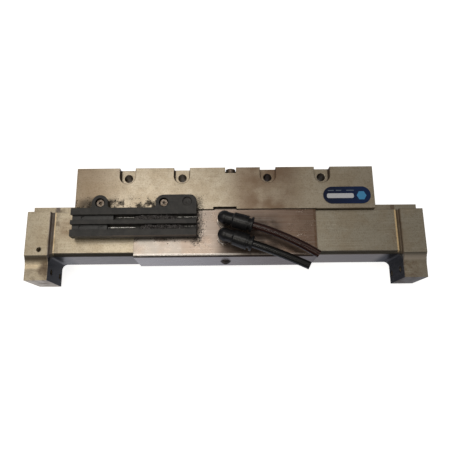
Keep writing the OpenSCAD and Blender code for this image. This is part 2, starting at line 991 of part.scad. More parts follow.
module elbow(i) {
    base_z = block_top_z + washer_t + hex_h + 0.15 - barrel_z;
    groove_x = barrel_len - 1.2;
    color(black_plastic)
        on_fitting(i)
            difference() {
                union() {
                    translate([0, 0, base_z])
                        cylinder(h = -elbow_drop - base_z, r = elbow_r);
                    translate([0, 0, -elbow_drop])
                        sphere(r = elbow_r);
                    cone_x(0, barrel_start, elbow_neck_r, elbow_neck_r);
                    cone_x(barrel_start - 0.9, barrel_start, elbow_neck_r - 0.1, barrel_r);
                    cone_x(barrel_start, groove_x, barrel_r, barrel_end_r);
                    cone_x(groove_x - 0.1, groove_x + 0.4, barrel_r - 0.15, barrel_r - 0.15);
                    cone_x(groove_x + 0.3, barrel_len, barrel_end_r, barrel_end_r);
                }
                // cavity for the stem neck
                translate([0, 0, base_z - cut])
                    cylinder(h = neck_h + cut, d = neck_d + 0.1);
                translate([0, 0, base_z])
                    cylinder(h = -base_z, d = 2.4);
                // flow passage and tube socket
                rod_x(0, barrel_len, 0, 0, 2.4);
                rod_x(tube_seat, barrel_len + cut, 0, 0, tube_d + 0.06);
                ring_x(tube_seat + 0.9, 1.5, 0, 0, 6, 3);
                rod_x(tube_seat + 2.7, barrel_len + cut, 0, 0, 6.3);
            }
}

module tube_seal(i) {
    color(black_rubber)
        on_fitting(i)
            ring_x(tube_seat + 1, 1.3, 0, 0, 5.96, tube_d + 0.04);
}

module collet(i) {
    color(steel)
        on_fitting(i)
            difference() {
                ring_x(tube_seat + 2.8, 0.8, 0, 0, 6.26, tube_d + 0.06);
                for (a = [0 : 45 : 315])
                    rotate([a, 0, 0])
                        translate([tube_seat + 2.5, -0.2, 0])
                            cube([1.5, 0.4, 2.6]);
            }
}

// Release collar: a sleeve round the tube with a flange to press
module collar(i) {
    flange_r = collar_flange_d / 2;
    color(black_plastic)
        on_fitting(i)
            difference() {
                union() {
                    rod_x(tube_seat + 4.5, collar_flange_x + 0.1, 0, 0, 6.2);
                    cone_x(collar_flange_x, collar_flange_x + 0.9, flange_r, flange_r);
                    cone_x(collar_flange_x + 0.9, collar_flange_x + 1.2, flange_r, flange_r - 0.3);
                }
                rod_x(tube_seat + 4, collar_flange_x + 2, 0, 0, tube_d + 0.16);
            }
}

// Straight bar and bend in one. The straight bar is a hair thinner than the
// bend and runs a little way into it, so that the two join cleanly.
module tube_bar(start, bend_r, bend, d) {
    rod_x(start, tube_straight + 0.3, 0, 0, d - fit_gap);
    translate([tube_straight, -bend_r, 0])
        rotate([0, 0, 90 - bend])
            rotate_extrude(angle = bend)
                translate([bend_r, 0])
                    circle(d = d);
}

module tube(i) {
    on_fitting(i)
        difference() {
            tube_bar(tube_seat + 0.05, tube_bend_r[i], tube_bend[i], tube_d);
            tube_bar(tube_seat - cut, tube_bend_r[i], tube_bend[i] + 0.5, tube_bore_d);
        }
}

module upper_stem() {
    stem(0);
}

module lower_stem() {
    stem(1);
}

module upper_swivel_seal() {
    swivel_seal(0);
}

module lower_swivel_seal() {
    swivel_seal(1);
}

module upper_elbow() {
    elbow(0);
}

module lower_elbow() {
    elbow(1);
}

module upper_tube_seal() {
    tube_seal(0);
}

module lower_tube_seal() {
    tube_seal(1);
}

module upper_collet() {
    collet(0);
}

module lower_collet() {
    collet(1);
}

module upper_collar() {
    collar(0);
}

module lower_collar() {
    collar(1);
}

module upper_tube() {
    color([0.35, 0.10, 0.06])
        tube(0);
}

module lower_tube() {
    color(black_rubber)
        tube(1);
}

housing();
centre_block();
block_screws();
cover();
cover_screw();
piston_rod();
rod_plug();
left_piston();
right_piston();
piston_seals();
pinion_axle();
axle_set_screw();
port_plug();
side_port_seal();
sensor_bracket();
bracket_screws();
upper_sensor();
lower_sensor();
label_plate();
left_jaw();
left_gland();
left_gland_clip();
left_gland_seals();
left_rack();
left_rack_pins();
jaw_magnet();
right_jaw();
right_gland();
right_gland_clip();
right_gland_seals();
right_rack();
right_rack_pins();
pinion();
pinion_bush();
port_washers();
upper_stem();
upper_elbow();
upper_swivel_seal();
upper_collar();
upper_collet();
upper_tube_seal();
upper_tube();
lower_stem();
lower_elbow();
lower_swivel_seal();
lower_collar();
lower_collet();
lower_tube_seal();
lower_tube();
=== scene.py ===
import json
import math

import bmesh
import bpy
from mathutils import Matrix, Vector, noise


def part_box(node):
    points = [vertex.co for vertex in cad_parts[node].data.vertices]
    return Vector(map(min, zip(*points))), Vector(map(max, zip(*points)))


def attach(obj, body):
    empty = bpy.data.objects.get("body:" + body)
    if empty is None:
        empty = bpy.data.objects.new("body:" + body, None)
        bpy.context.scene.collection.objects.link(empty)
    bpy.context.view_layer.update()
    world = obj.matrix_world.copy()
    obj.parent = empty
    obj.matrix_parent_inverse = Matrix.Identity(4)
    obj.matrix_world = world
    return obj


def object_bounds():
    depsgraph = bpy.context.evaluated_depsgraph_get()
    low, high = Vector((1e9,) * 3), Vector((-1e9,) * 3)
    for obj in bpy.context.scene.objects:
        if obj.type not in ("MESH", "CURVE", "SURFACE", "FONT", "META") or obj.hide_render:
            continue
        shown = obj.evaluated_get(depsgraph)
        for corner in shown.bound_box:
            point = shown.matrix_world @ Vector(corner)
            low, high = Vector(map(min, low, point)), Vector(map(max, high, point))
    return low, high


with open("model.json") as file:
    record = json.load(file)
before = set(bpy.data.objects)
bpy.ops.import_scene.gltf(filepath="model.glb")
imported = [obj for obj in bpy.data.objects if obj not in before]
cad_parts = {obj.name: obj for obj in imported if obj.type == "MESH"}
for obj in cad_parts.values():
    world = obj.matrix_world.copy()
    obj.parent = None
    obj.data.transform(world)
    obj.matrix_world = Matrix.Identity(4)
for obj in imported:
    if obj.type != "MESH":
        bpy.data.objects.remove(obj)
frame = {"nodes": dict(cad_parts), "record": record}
cad_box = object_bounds()

MM = 0.001
HOUSING = "housing_group"


def box_mm(node):
    """The low and high corner of a node's box, in millimetres."""
    low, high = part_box(node)
    return low / MM, high / MM


# ------------------------------------------- places on the part, in millimetres
# A pair is either a stretch, for Graph.band, or where a change starts and where
# it is complete, for Graph.ease. The second kind can run either way.

bracket_low, bracket_high = box_mm("sensor_bracket")
cover_low, cover_high = box_mm("cover")
RIDGE_SETBACK = 6.8
ridge_high_y = bracket_high.y - RIDGE_SETBACK

# housing: the fixing pockets, and where its colour darkens to the right, partly as painted light
FIX_OUTER_X, FIX_INNER_X, FIX_Y, POCKET_R = 52.0, 23.0, 30.9, 4.2
COAT_X = (-80.0, 70.0)
TANNED_X = (-46.0, -74.0)
BLOOM_X = (6.0, 38.0)
SMOKE_LOW, SMOKE_HIGH = (-74.0, 12.0), (-70.0, 15.0)

# slides and finger blocks: x is the distance from the middle, on both sides
FOOT_X = 91.8                  # the groove where a slide meets its block
BLOCK_X = (104.5, 95.0)        # from the outer end of a block inwards
SCOOP_Y = (-13.0, -17.0)
CHAMFER_X, CHAMFER_Y, CHAMFER_Z = (92.0, 91.0), (-11.9, -10.45), (23.6, 25.12)
COVE_X, COVE_Z = (92.2, 92.6), (24.0, 24.3)
SHADE_Y, PALE_Y = (-14.0, -12.1), (-15.0, -12.4)
OILED_X, OILED_Y = (98.5, 93.0), (-22.0, -13.0)
SHINE_X, SHINE_Y = (95.0, 99.0), (-17.9, -16.2)
INNER_FROM_X, INNER_TO_X, INNER_Y = (72.0, 86.0), (93.0, 92.6), (-12.0, -12.6)
BELOW_X, BELOW_Y, BELOW_Z = (92.35, 92.15), (-11.4, -11.7), (25.0, 23.6)
NEAR_BLOCK_X, FAR_FROM_BLOCK_X = (80.0, 86.0), (86.0, 80.0)
RUBBED_Z = (24.0, 24.6)

# the brown stain on the left slide beside the bracket; here x has its sign
BESIDE_BRACKET_X, BESIDE_BRACKET_Y = (-86.5, -80.0), (-0.5, 8.0)

# cover: from end to end, below the two fittings, along its bend and wall, and its tab
SHEET_X = (-46.0, 46.0)
FITTINGS_LOW, FITTINGS_HIGH = (3.0, -12.0), (24.0, 4.0)
BEND_X, WALL_X = (14.0, -6.0), (25.0, -15.0)
TAB_X, TAB_Y = (6.5, 6.0), (12.35, 12.45)

# bracket: bare lines where the sensors have rubbed the groove floors, painted bright as glints,
# as from x, to x, y, and the part of its side that catches light, painted lighter
GROOVE_GLINTS = ((-56.0, -46.5, 7.75), (-25.0, -15.0, 7.75),
                 (-61.0, -47.0, 2.35), (-21.0, -15.0, 2.85))
BRACKET_SIDE_X = (-62.0, -50.0)
LABEL_X = (52.0, 77.0)

# -------------------------------------------------------- colours, in linear RGB

NEAR_BLACK = (0.016, 0.013, 0.010)
BROWN = (0.115, 0.068, 0.036)
UMBER = (0.050, 0.032, 0.020)

COAT = {
    "mottle": (0.27, 0.205, 0.125), "fleck": (0.17, 0.135, 0.090),
    "drag": (0.56, 0.51, 0.42), "scratch": (0.64, 0.60, 0.53),
    "worn": (0.70, 0.64, 0.52), "dirt_and_shade": (0.034, 0.026, 0.019),
    "bloom": (0.150, 0.095, 0.060), "tanned": (0.165, 0.112, 0.066),
}
ENDS = {
    "left_groove": (0.235, 0.200, 0.175), "right_groove": (0.16, 0.12, 0.08),
    "chamfer": (0.060, 0.056, 0.048), "beside_bracket": (0.150, 0.092, 0.048),
    "shade": (0.075, 0.046, 0.026), "pale": (0.62, 0.54, 0.46), "shine": (0.92, 0.76, 0.52),
    "inner_right": (0.16, 0.158, 0.155), "inner_right_pale": (0.42, 0.405, 0.385),
    "inner_left": (0.010, 0.013, 0.022), "inner_left_pale": (0.050, 0.054, 0.062),
    "below_left": (0.085, 0.081, 0.088), "below_block": (0.012, 0.014, 0.020),
    "below_right": (0.60, 0.53, 0.47), "rubbed": (0.80, 0.60, 0.33),
}
SHEET = {
    "left": (0.215, 0.194, 0.172), "right": (0.170, 0.110, 0.078),
    "bloom": (0.215, 0.155, 0.115), "under": (0.050, 0.033, 0.025),
    "brush": (0.42, 0.385, 0.35), "hairline": (0.78, 0.75, 0.71),
    "bend": (1.0, 0.94, 0.88), "wall": (0.40, 0.39, 0.415),
    "corner": (0.060, 0.045, 0.035), "dirt_and_shade": (0.022, 0.017, 0.013),
}
TURNED = {
    "tarnish": (0.16, 0.11, 0.07), "dirt_and_shade": (0.025, 0.020, 0.016), "lit": (1.0, 0.97, 0.92),
}
ANODISED = {
    "low": (0.021, 0.021, 0.0205), "high": (0.038, 0.036, 0.034),
    "dust": (0.12, 0.100, 0.080), "pull": (0.070, 0.067, 0.061),
    "rubbed": (0.46, 0.42, 0.36), "side": (0.19, 0.140, 0.105), "bare_glint": (0.85, 0.85, 0.84),
}
PLASTIC_DUST = (0.11, 0.098, 0.082)
RUBBER, RUBBER_BLOOM = (0.014, 0.014, 0.014), (0.06, 0.058, 0.055)
TUBE_SCUFF = (0.16, 0.12, 0.10)
FILM = {
    "left": (0.003, 0.009, 0.036), "right": (0.005, 0.020, 0.080),
    "fleck": (0.14, 0.15, 0.18), "rubbed": (0.20, 0.22, 0.27),
}
GRIME = {
    "low": (0.034, 0.031, 0.030), "high": (0.165, 0.152, 0.148),
    "rust": (0.100, 0.066, 0.048), "chip": (0.46, 0.45, 0.47),
}


# ------------------------------------------------------------------- node graphs

EDGE_SAMPLES = 6


class Graph:
    """A material's node tree. Positions are in millimetres in the part's own frame."""

    def __init__(self, name):
        self.material = bpy.data.materials.new(name)
        self.material.use_nodes = True
        self.tree = self.material.node_tree
        self.tree.nodes.clear()
        self.output = self.tree.nodes.new("ShaderNodeOutputMaterial")
        self.shader = self.tree.nodes.new("ShaderNodeBsdfPrincipled")
        self.tree.links.new(self.shader.outputs[0], self.output.inputs["Surface"])
        object_space = self.node("ShaderNodeTexCoord").outputs["Object"]
        self.place = self.vector("SCALE", object_space, scale=1 / MM)
        split = self.node("ShaderNodeSeparateXYZ", Vector=self.place)
        self.x, self.y, self.z = split.outputs
        self.normal = self.node("ShaderNodeNewGeometry").outputs["Normal"]

    def put(self, socket, value):
        """Link a socket to another one, or set its value."""
        if isinstance(value, bpy.types.NodeSocket):
            self.tree.links.new(value, socket)
        elif socket.type == "RGBA" and len(value) == 3:
            socket.default_value = (*value, 1)
        else:
            socket.default_value = value

    def node(self, kind, settings=None, **inputs):
        """Add a node; an underscore in an input's name stands for a space."""
        made = self.tree.nodes.new(kind)
        for key, value in (settings or {}).items():
            setattr(made, key, value)
        for key, value in inputs.items():
            self.put(made.inputs[key.replace("_", " ")], value)
        return made

    def math(self, operation, *values):
        made = self.node("ShaderNodeMath", {"operation": operation})
        for socket, value in zip(made.inputs, values):
            self.put(socket, value)
        return made.outputs[0]

    def absolute(self, value):
        return self.math("ABSOLUTE", value)

    def plus(self, a, b):
        return self.math("ADD", a, b)

    def minus(self, a, b):
        return self.math("SUBTRACT", a, b)

    def larger(self, a, b):
        return self.math("MAXIMUM", a, b)

    def times(self, *values):
        product = values[0]
        for value in values[1:]:
            product = self.math("MULTIPLY", product, value)
        return product

    def vector(self, operation, a, b=None, scale=None):
        made = self.node("ShaderNodeVectorMath", {"operation": operation})
        self.put(made.inputs[0], a)
        if b is not None:
            self.put(made.inputs[1], b)
        if scale is not None:
            self.put(made.inputs["Scale"], scale)
        return made.outputs["Value" if operation == "DOT_PRODUCT" else "Vector"]

    def along(self, direction):
        """How far the surface faces a direction, from -1 to 1."""
        return self.vector("DOT_PRODUCT", self.normal, direction)

    def ease(self, value, low, high, to_low=0.0, to_high=1.0):
        """A smooth step from to_low at low to to_high at high."""
        made = self.node("ShaderNodeMapRange", {"interpolation_type": "SMOOTHSTEP"})
        for socket, item in zip(made.inputs, (value, low, high, to_low, to_high)):
            self.put(socket, item)
        return made.outputs[0]

    def mix(self, factor, a, b):
        """A colour between a and b."""
        made = self.node("ShaderNodeMix", {"data_type": "RGBA"})
        for socket, value in ((0, factor), (6, a), (7, b)):
            self.put(made.inputs[socket], value)
        return made.outputs[2]

    def over(self, colour, *layers):
        """Lay (mask, tint) layers over a colour, one after another."""
        for mask, tint in layers:
            colour = self.mix(mask, colour, tint)
        return colour

    def blend(self, factor, a, b):
        """A number between a and b."""
        made = self.node("ShaderNodeMix", {"data_type": "FLOAT"})
        for socket, value in ((0, factor), (2, a), (3, b)):
            self.put(made.inputs[socket], value)
        return made.outputs[0]

    def stretch(self, x, y, z, shift=0.0):
        """The position scaled along each axis; shift picks another part of a noise."""
        stretched = self.vector("MULTIPLY", self.place, (x, y, z))
        return self.vector("ADD", stretched, (shift, shift, shift))

    def shifted(self, shift):
        return self.stretch(1, 1, 1, shift)

    def cloud(self, scale, detail=4.0, rough=0.55, at=None, distortion=0.0):
        """Noise between 0 and 1; a larger scale gives finer grains."""
        made = self.node("ShaderNodeTexNoise", Vector=at or self.place, Scale=scale,
                         Detail=detail, Roughness=rough, Distortion=distortion)
        return made.outputs[0]

    def rounded(self, radius):
        """The normal as if every edge had this radius."""
        samples = {"samples": EDGE_SAMPLES}
        return self.node("ShaderNodeBevel", samples, Radius=radius * MM).outputs[0]

    def edge(self, radius, low=0.01, high=0.12):
        """1 on edges, 0 on flat faces."""
        same = self.vector("DOT_PRODUCT", self.rounded(radius), self.normal)
        return self.ease(self.minus(1.0, same), low, high)

    def hollow(self, distance):
        """Near 1 in corners that other surfaces close in within this distance."""
        samples = {"samples": EDGE_SAMPLES}
        made = self.node("ShaderNodeAmbientOcclusion", samples, Distance=distance * MM)
        return self.minus(1.0, made.outputs["AO"])

    def bump(self, height, depth, corner=0.25):
        """Relief of this depth over the whole surface, with softened edges."""
        made = self.node("ShaderNodeBump", Strength=1.0, Distance=depth * MM,
                         Height=height, Normal=self.rounded(corner))
        self.put(self.shader.inputs["Normal"], made.outputs[0])

    def box_distance(self, low, high):
        """Distance in X and Y outside a rectangle, in millimetres."""
        squares = []
        for axis, a, b in ((self.x, low[0], high[0]), (self.y, low[1], high[1])):
            from_middle = self.absolute(self.minus(axis, (a + b) / 2))
            side = self.larger(self.minus(from_middle, (b - a) / 2), 0.0)
            squares.append(self.times(side, side))
        return self.math("SQRT", self.plus(*squares))

    def band(self, axis, low, high, soft):
        """1 between low and high along one axis, with soft sides."""
        rise = self.ease(axis, low - soft, low + soft)
        return self.times(rise, self.ease(axis, high + soft, high - soft))

    def done(self, colour, roughness, metallic=0.0, **more):
        """Fill in the shader and hand over the material."""
        inputs = {"Base Color": colour, "Roughness": roughness, "Metallic": metallic, **more}
        for key, value in inputs.items():
            self.put(self.shader.inputs[key.replace("_", " ")], value)
        return self.material


def scaled(colour, factor, lift=0.0):
    """A brighter or darker shade of a colour."""
    return tuple(min(1, channel * factor + lift) for channel in colour)


# --------------------------------------------------------------------- materials

def soot(g, reach, strength=1.0):
    """Fine black specks and a soft brown stain round the foot of the sensor bracket."""
    away = g.box_distance((bracket_low.x + 2, bracket_low.y + 1),
                          (bracket_high.x, ridge_high_y + 3))
    patch = g.ease(g.cloud(0.20, 4, 0.65), 0.38, 0.60)
    amount = g.times(g.ease(away, reach, 0.0), g.math("MULTIPLY_ADD", patch, 0.85, 0.15))
    right_end = g.box_distance((bracket_high.x - 1, bracket_low.y - 1),
                               (bracket_high.x + 0.5, ridge_high_y + 5))
    dense = g.larger(amount, g.times(g.ease(right_end, 6.0, 0.0), 0.75))
    grains = g.plus(g.times(dense, 0.24), g.cloud(2.0, 5, 0.8))
    specks = g.times(g.ease(grains, 0.66, 0.69), 0.95)
    for scale, size in ((1.1, 0.44), (2.0, 0.40)):
        cells = g.node("ShaderNodeTexVoronoi", Vector=g.place, Scale=scale)
        chosen = g.node("ShaderNodeSeparateColor", Color=cells.outputs["Color"]).outputs[0]
        chosen = g.ease(g.minus(g.times(dense, 0.65), chosen), 0.0, 0.05)
        dot = g.times(g.ease(cells.outputs["Distance"], size, size * 0.7), chosen)
        specks = g.larger(specks, dot)
    smoke = g.times(g.ease(g.box_distance(SMOKE_LOW, SMOKE_HIGH), 5.5, 0.5),
                    g.ease(g.cloud(0.3, 3, 0.6), 0.25, 0.55, 0.2))
    stain = g.larger(g.times(g.ease(amount, 0.2, 1.2), 0.42), g.times(smoke, 0.45))
    return g.times(g.larger(specks, stain), strength)


def pocket_edge_shade(g):
    """Painted shade along the edges of the four screw pockets of the housing."""
    fold = g.minus(g.absolute(g.x), (FIX_OUTER_X + FIX_INNER_X) / 2)
    across = g.minus(g.absolute(fold), (FIX_OUTER_X - FIX_INNER_X) / 2)
    below = g.math("MINIMUM", g.minus(g.y, FIX_Y), 0.0)
    radius = g.math("SQRT", g.plus(g.times(across, across), g.times(below, below)))
    return g.band(radius, POCKET_R - 0.55, POCKET_R + 0.18, 0.12)


def coated_metal(name, left, right, seed, finish):
    """Satin hard-coated light alloy, mottled and scratched; finish adds its own marks."""
    g = Graph(name)
    drag = g.cloud(1.0, 3, 0.6, g.stretch(0.05, 2.6, 2.6, seed))
    fine = g.cloud(1.7, 5, 0.72, g.shifted(seed + 7))
    scratch = g.cloud(1.0, 2, 0.5, g.stretch(0.10, 5.5, 5.5, seed + 3), distortion=0.4)
    scratch = g.ease(scratch, 0.70, 0.74)
    pits = g.ease(g.cloud(2.6, 2, 0.5, g.shifted(seed + 19)), 0.70, 0.76)
    worn = g.times(g.edge(0.35, 0.02, 0.15), g.ease(g.cloud(0.5, 3), 0.36, 0.58))
    # dirt in patches and painted shade in hollows and corners, kept off the groove at each foot
    dirt_and_shade = g.ease(g.plus(g.hollow(1.6), g.times(g.cloud(0.8, 4), 0.25)), 0.44, 0.82)
    at_foot = g.band(g.absolute(g.x), FOOT_X - 2.5, FOOT_X + 0.4, 0.2)
    dirt_and_shade = g.times(dirt_and_shade, g.ease(at_foot, 0.0, 1.0, 1.0, 0.0))
    # the colour darkens from left to right: partly the coat, partly painted light falling from the
    # left
    colour = g.over(
        g.mix(g.ease(g.x, *COAT_X), left, right),
        (g.ease(g.cloud(0.09, 5, 0.62, g.shifted(seed)), 0.40, 0.64, 0.0, 0.38), COAT["mottle"]),
        (g.ease(fine, 0.44, 0.70, 0.0, 0.60), COAT["fleck"]),
        (g.ease(drag, 0.45, 0.75, 0.0, 0.25), COAT["drag"]),
        (g.times(scratch, 0.35), COAT["scratch"]),
        (g.times(pits, 0.6), UMBER),
        (g.times(worn, 0.65), COAT["worn"]),
        (g.times(dirt_and_shade, 0.85), COAT["dirt_and_shade"]),
    )
    rough = g.blend(g.cloud(0.35, 4), 0.30, 0.44)
    metallic = g.minus(0.88, g.times(dirt_and_shade, 0.65))
    height = g.plus(g.times(drag, 0.35), g.times(fine, 0.5))
    g.bump(g.minus(height, g.times(scratch, 0.3)), 0.03)
    return g.done(*finish(g, colour, rough, metallic))


def sooty_housing(g, colour, rough, metallic):
    """Soot by the bracket, painted shade at the pockets, a tanned left end and a brown bloom on
    the right.
    """
    black = soot(g, 6.5)
    bloom = g.times(g.band(g.x, *BLOOM_X, 10.0),
                    g.ease(g.cloud(0.06, 3, 0.6, g.shifted(4.0)), 0.25, 0.55, 0.35))
    colour = g.over(
        colour,
        # painted shade along the pocket edges
        (g.times(pocket_edge_shade(g), 0.92), UMBER),
        (g.times(bloom, 0.85), COAT["bloom"]),
        (g.ease(g.x, *TANNED_X, 0.0, 0.62), COAT["tanned"]),
        (g.times(black, 0.92), NEAR_BLACK),
    )
    return colour, g.blend(black, rough, 0.85), g.times(metallic, g.minus(1.0, black))


def stained_and_shaded_ends(g, colour, rough, metallic):
    """The marks of use on the slides and on the finger blocks at their ends, and painted light and
    shade.
    """
    across = g.absolute(g.x)
    left, right = g.ease(g.x, 0.0, -1.0), g.ease(g.x, 0.0, 1.0)

    # the groove at the foot of each block in painted shade, oil stains beside it and low on the
    # block, painted shade on the chamfer of each slide, and the stain beside the bracket
    groove = g.band(across, FOOT_X - 1.85, FOOT_X + 0.35, 0.12)
    groove_tint = g.mix(right, ENDS["left_groove"], ENDS["right_groove"])
    blots = g.plus(g.cloud(0.20, 4, 0.65), g.times(g.cloud(1.2, 4, 0.7), 0.3))
    scoop = g.times(g.ease(g.y, *SCOOP_Y), g.ease(blots, 0.54, 0.80),
                    g.ease(across, *BLOCK_X, 0.10, 0.85))
    foot = g.times(g.band(across, FOOT_X - 4.5, FOOT_X + 0.8, 0.6),
                   g.ease(g.cloud(0.30, 5, 0.7, g.stretch(1, 0.6, 1, 5.0)), 0.44, 0.64))
    stain = g.times(g.larger(scoop, g.times(foot, 0.55)), 0.85)
    chamfer = g.times(g.band(g.y, *CHAMFER_Y, 0.12), g.band(g.z, *CHAMFER_Z, 0.12),
                      g.ease(across, *CHAMFER_X))
    beside_bracket = g.times(g.band(g.x, *BESIDE_BRACKET_X, 2.2),
                             g.band(g.y, *BESIDE_BRACKET_Y, 2.5),
                             g.ease(g.cloud(0.25, 4, 0.6), 0.30, 0.55, 0.3))

    # the cove of each block: painted shade and an oil stain on the left one with one painted
    # highlight line, a pale painted highlight on the right
    cove = g.times(g.ease(across, *COVE_X), g.ease(g.z, *COVE_Z))
    shade = g.times(cove, g.band(g.y, *SHADE_Y, 0.8), g.ease(g.x, 0.0, 1.0, 0.62, 0.0))
    oiled = g.times(cove, g.band(g.y, *OILED_Y, 2.0), g.ease(across, *OILED_X), left)
    pale = g.times(cove, g.band(g.y, *PALE_Y, 0.8), right)
    shine = g.times(cove, g.band(g.y, *SHINE_Y, 0.7), left, g.ease(across, *SHINE_X))

    # painted shade on the inner faces of the blocks, and painted light and shade on the wall of
    # each slide below its chamfer
    inner = g.times(g.ease(g.absolute(g.along((1.0, 0.0, 0.0))), 0.3, 0.6),
                    g.ease(across, *INNER_TO_X), g.ease(g.y, *INNER_Y),
                    g.ease(across, *INNER_FROM_X))
    smudge = g.ease(g.cloud(0.5, 4, 0.6, g.stretch(1, 1, 0.4, 2.0)), 0.35, 0.70)
    inner_right = g.mix(smudge, ENDS["inner_right"], ENDS["inner_right_pale"])
    inner_left = g.mix(g.times(smudge, 0.45), ENDS["inner_left"], ENDS["inner_left_pale"])
    below = g.times(g.ease(g.y, *BELOW_Y), g.ease(g.z, *BELOW_Z), g.ease(across, *BELOW_X))

    # coat rubbed through to gold along the groove, with a painted highlight on the groove's
    # sloping side
    rubbed = g.larger(
        g.times(right, g.band(across, FOOT_X - 2.35, FOOT_X - 1.50, 0.12)),
        g.times(left, g.band(across, FOOT_X - 2.35, FOOT_X - 1.85, 0.12), 0.55))
    rubbed = g.times(rubbed, g.ease(g.z, *RUBBED_Z),
                     g.ease(g.cloud(0.6, 4, 0.7, g.shifted(21.0)), 0.34, 0.46))

    colour = g.over(
        colour,
        (g.times(groove, 0.90), groove_tint),
        (stain, BROWN),
        (g.times(chamfer, g.ease(g.x, 0.0, 1.0, 0.85, 0.50)), ENDS["chamfer"]),
        (g.times(beside_bracket, 0.62), ENDS["beside_bracket"]),
        (g.larger(shade, g.times(oiled, 0.70)), ENDS["shade"]),
        (g.times(pale, 0.5), ENDS["pale"]),
        (g.times(shine, 0.85), ENDS["shine"]),
        (g.times(inner, right, 0.95), inner_right),
        (g.times(inner, left, 0.95), inner_left),
        (g.times(below, left, 0.85), ENDS["below_left"]),
        (g.times(below, g.ease(across, *NEAR_BLOCK_X), 0.9), ENDS["below_block"]),
        (g.times(below, right, g.ease(across, *FAR_FROM_BLOCK_X), 0.6), ENDS["below_right"]),
        (rubbed, ENDS["rubbed"]),
    )
    rough = g.blend(g.times(rubbed, 0.8), g.blend(stain, rough, 0.6), 0.30)
    metallic = g.times(metallic, g.blend(groove, 1.0, 0.25), g.blend(shine, 1.0, 0.15),
                       g.math("MULTIPLY_ADD", stain, -0.7, 1.0), g.blend(inner, 1.0, 0.1))
    g.put(g.shader.inputs["Specular IOR Level"], g.blend(inner, 0.5, 0.1))
    return colour, g.blend(inner, rough, 0.55), metallic


def sheet_steel(name):
    """Rolled stainless sheet, rubbed smooth: brown bloom, patchy dirt, painted light and shade."""
    g = Graph(name)
    bloom = g.ease(g.cloud(0.10, 4, 0.6), 0.42, 0.66)
    # painted shadow and reflection of the two fittings on the top face
    under = g.times(g.ease(g.box_distance(FITTINGS_LOW, FITTINGS_HIGH), 10.0, 0.5),
                    g.ease(g.cloud(0.16, 4, 0.6, g.shifted(9.0)), 0.20, 0.55),
                    g.ease(g.z, cover_high.z - 1.5, cover_high.z - 0.5))
    brush = g.cloud(1.0, 3, 0.6, g.stretch(0.035, 6.0, 6.0))
    hairline = g.cloud(1.0, 2, 0.5, g.stretch(0.25, 7.0, 7.0, 4.0), distortion=0.8)
    hairline = g.ease(hairline, 0.71, 0.75)
    # a painted highlight along the bend, fading to the right
    bend = g.times(g.band(g.y, cover_low.y + 0.8, cover_low.y + 1.7, 0.3),
                   g.ease(g.x, *BEND_X, 0.15, 1.0))
    # a painted bluish reflection on the side wall, stronger to the left
    wall = g.times(g.ease(g.y, cover_low.y + 0.12, cover_low.y + 0.04), g.ease(g.x, *WALL_X))
    # painted shade on the outer curve of the bend, between its highlight and the wall
    corner_line = g.times(g.band(g.y, cover_low.y + 0.05, cover_low.y + 0.6, 0.2),
                          g.ease(g.z, cover_high.z - 1.4, cover_high.z - 1.1))
    from_end = g.absolute(g.minus(g.x, cover_high.x - 0.8))
    end_line = g.times(g.ease(from_end, 0.9, 0.1), g.ease(g.cloud(0.5, 4, 0.6), 0.30, 0.55))
    # dirt in patches and painted shade in the hollows
    dirt_and_shade = g.ease(g.plus(g.hollow(0.9), g.times(g.cloud(1.2, 4), 0.3)), 0.50, 0.90)
    # painted shade in the slot round the tab
    tab = g.times(g.ease(g.y, *TAB_Y), g.ease(g.absolute(g.x), *TAB_X), 0.85)
    black = g.larger(g.larger(g.times(dirt_and_shade, 0.65), tab), soot(g, 4.5, 0.9))
    # lighter on the left, darker and browner on the right: partly a brown bloom, partly painted
    # shade
    colour = g.over(
        g.mix(g.ease(g.x, *SHEET_X), SHEET["left"], SHEET["right"]),
        (g.times(bloom, 0.5), SHEET["bloom"]),
        (g.times(under, 0.92), SHEET["under"]),
        (g.ease(brush, 0.40, 0.70, 0.0, 0.28), SHEET["brush"]),
        (g.times(hairline, 0.35), SHEET["hairline"]),
        (g.times(bend, 0.80), SHEET["bend"]),
        (g.times(wall, 0.40), SHEET["wall"]),
        (g.times(corner_line, 0.8), SHEET["corner"]),
        (g.times(end_line, 0.7), BROWN),
        (black, SHEET["dirt_and_shade"]),
    )
    rough = g.blend(g.cloud(0.25, 4), 0.22, 0.34)
    rough = g.blend(g.larger(black, g.times(under, 0.4)), rough, 0.8)
    metallic = g.times(g.minus(0.95, g.times(black, 0.9)), g.blend(bend, 1.0, 0.2))
    height = g.plus(g.times(brush, 0.4), g.times(g.cloud(0.06, 2), 2.0))
    g.bump(g.minus(height, g.times(hairline, 0.3)), 0.02, corner=0.15)
    return g.done(colour, rough, metallic)


